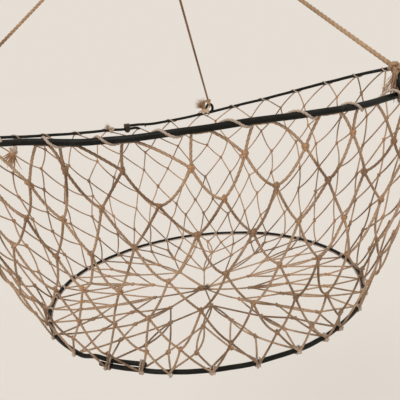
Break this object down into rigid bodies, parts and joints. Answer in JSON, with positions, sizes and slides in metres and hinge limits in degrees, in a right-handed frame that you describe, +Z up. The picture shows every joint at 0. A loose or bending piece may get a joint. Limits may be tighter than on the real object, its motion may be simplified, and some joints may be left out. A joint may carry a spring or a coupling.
{
  "type": "crawfish basket",
  "caption": "Hanging drop net for crawfish: a large and a small wire hoop joined by a knotted twine net, with a net floor, hung from a cord bridle that meets in one loop.",
  "frame": {"origin": "bearing point of the hanging loop, where a hook or a line carries the basket", "axes": "+Z up along the line of hang, -Y towards the front of the basket as pictured, +X to its right"},
  "size_m": [0.4663, 0.4666, 0.4194],
  "materials": {
    "hoop_coating": "satin green-black coating on drawn wire",
    "net_twine": "tan twisted netting twine",
    "lacing_twine": "pale pinkish-grey twine",
    "bridle_cord": "tan laid cord"
  },
  "bodies": {
    "suspension": {"hanging_loop": "bridle_cord", "apex_knot": "bridle_cord", "bridle_cord_left": "bridle_cord", "bridle_cord_right": "bridle_cord", "bridle_cord_rear": "bridle_cord"},
    "large_hoop": {"top_hoop": "hoop_coating", "hitch_left": "bridle_cord", "hitch_right": "bridle_cord", "hitch_rear": "bridle_cord", "top_hoop_seizing": "lacing_twine", "top_lacing_left": "lacing_twine", "top_lacing_right": "lacing_twine", "lacing_knot_rear": "lacing_twine", "lacing_tuft_front": "lacing_twine", "side_net": "net_twine"},
    "small_hoop": {"bottom_hoop": "hoop_coating", "bottom_net": "net_twine", "bottom_lacing": "lacing_twine", "bottom_hoop_seizing_a": "lacing_twine", "bottom_hoop_seizing_b": "lacing_twine", "centre_knot": "net_twine"}
  },
  "joints": [
    {"name": "bridle", "type": "slide", "parent": "suspension", "child": "large_hoop", "axis": [0, 0, 1], "range_m": [0, 0.16], "deforming": ["bridle_cord_left", "bridle_cord_right", "bridle_cord_rear"]},
    {"name": "basket_collapse", "type": "slide", "parent": "large_hoop", "child": "small_hoop", "axis": [0, 0, 1], "range_m": [0, 0.147], "deforming": ["side_net"]}
  ]
}
